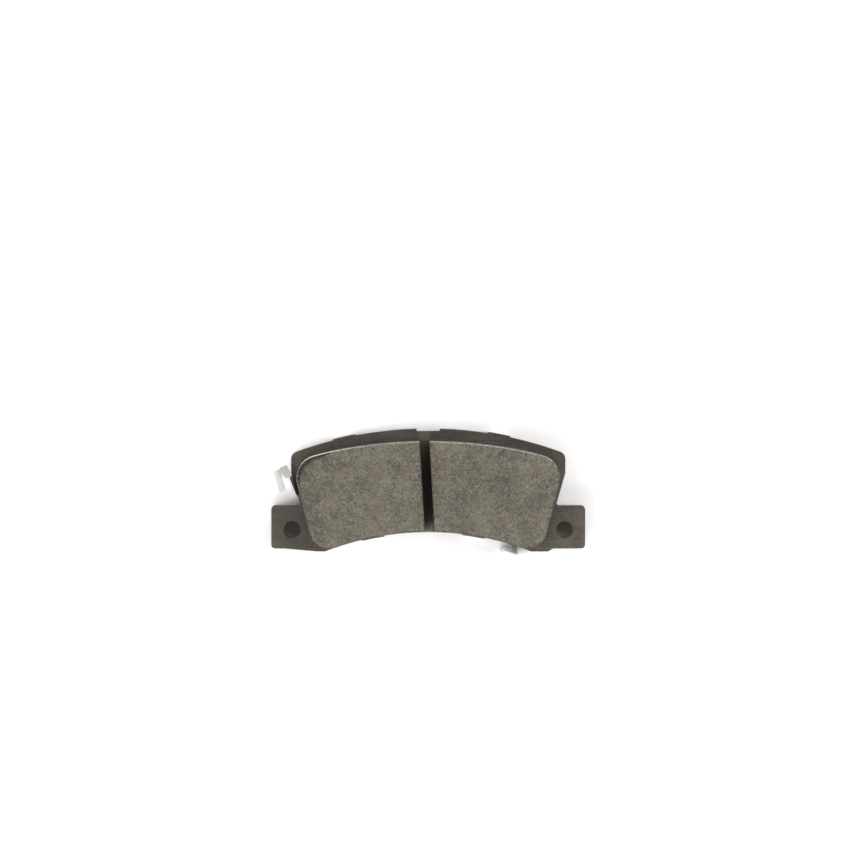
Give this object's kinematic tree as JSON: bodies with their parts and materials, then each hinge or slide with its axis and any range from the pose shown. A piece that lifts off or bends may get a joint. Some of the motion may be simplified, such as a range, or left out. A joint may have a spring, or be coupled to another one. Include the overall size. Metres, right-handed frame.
{
  "type": "disc brake pad",
  "caption": "Disc brake pad: arched steel backing plate with drilled end ears, a slotted friction lining, a layered anti-squeal shim and spring-steel wear indicators.",
  "frame": {"origin": "on the back of the outer shim, on the pad's middle line, midway between the backing plate's inner and outer arcs", "axes": "+X along the pad, +Y away from the disc's axle, +Z the outward normal of the friction face"},
  "size_m": [0.1166, 0.0471, 0.0162],
  "materials": {
    "plate_paint": "matte",
    "underlayer_binder": "matte",
    "friction_material": "matte",
    "shim_rubber": "matte",
    "plated_steel": "satin",
    "stainless_sheet": "satin",
    "spring_steel": "satin"
  },
  "bodies": {
    "root": {"backing_plate": "plate_paint", "underlayer": "underlayer_binder", "friction_block_left": "friction_material", "friction_block_right": "friction_material", "inner_shim_rubber": "shim_rubber", "inner_shim_steel": "plated_steel", "outer_shim": "stainless_sheet", "side_wear_indicator": "spring_steel", "lower_wear_indicator": "spring_steel", "side_indicator_rivet": "plated_steel", "lower_indicator_rivet": "plated_steel"}
  },
  "joints": []
}
